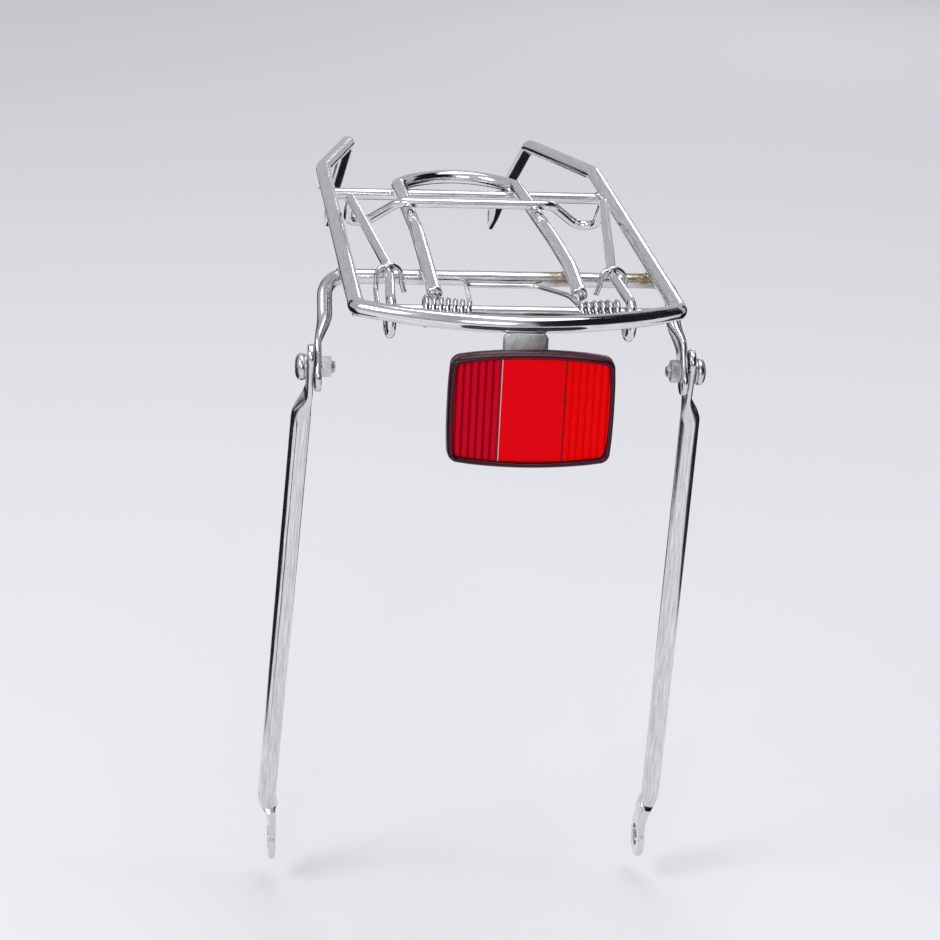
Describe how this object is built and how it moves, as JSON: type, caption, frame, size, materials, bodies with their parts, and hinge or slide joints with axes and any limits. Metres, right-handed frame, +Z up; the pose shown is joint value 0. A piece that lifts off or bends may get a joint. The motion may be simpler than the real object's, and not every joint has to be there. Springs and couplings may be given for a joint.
{
  "type": "rear rack",
  "caption": "Bent-rod bicycle rear rack with a sprung wire clip, inner hoop, two tube struts to the wheel axle and a red rear reflector under its bow.",
  "frame": {"origin": "middle of the line through the two strut eyes, which is the rear wheel's axle line", "axes": "+X to the right along the axle line, +Y forward along the platform, +Z up, square to the platform"},
  "size_m": [0.1796, 0.4911, 0.2992],
  "materials": {
    "chrome": "bright plated, a little worn",
    "steel": "zinc plated",
    "red_lens": "moulded prismatic lens",
    "black_plastic": "moulded"
  },
  "bodies": {
    "rack": {"main_frame": "chrome", "front_crossbar": "chrome", "bridge_bar": "chrome", "support_hoop": "chrome", "hinge_axle": "chrome", "torsion_spring": "steel", "strut_bolts": "steel", "strut_washers": "steel", "strut_nuts": "steel", "reflector_bracket": "chrome", "reflector_lens": "red_lens", "reflector_housing": "black_plastic", "reflector_stud": "steel", "reflector_nut": "steel", "reflector_washer": "steel"},
    "clip": {"clip_wire": "chrome", "spring_leg_left": "steel", "spring_leg_right": "steel"},
    "left_strut": {"strut_left": "chrome"},
    "right_strut": {"strut_right": "chrome"}
  },
  "joints": [
    {"name": "clip_hinge", "type": "hinge", "parent": "rack", "child": "clip", "pos_m": [0, -0.0964, 0.27365], "axis": [1, 0, 0], "range_deg": [0, 75], "stiffness_Nm_per_rad": 0.5, "springref_deg": -57.3},
    {"name": "left_strut_pivot", "type": "hinge", "parent": "rack", "child": "left_strut", "pos_m": [-0.0762, -0.0694, 0.2421], "axis": [1, 0, 0], "range_deg": [-20, 74]},
    {"name": "right_strut_pivot", "type": "hinge", "parent": "rack", "child": "right_strut", "pos_m": [0.0762, -0.0694, 0.2421], "axis": [1, 0, 0], "range_deg": [-20, 74]}
  ]
}
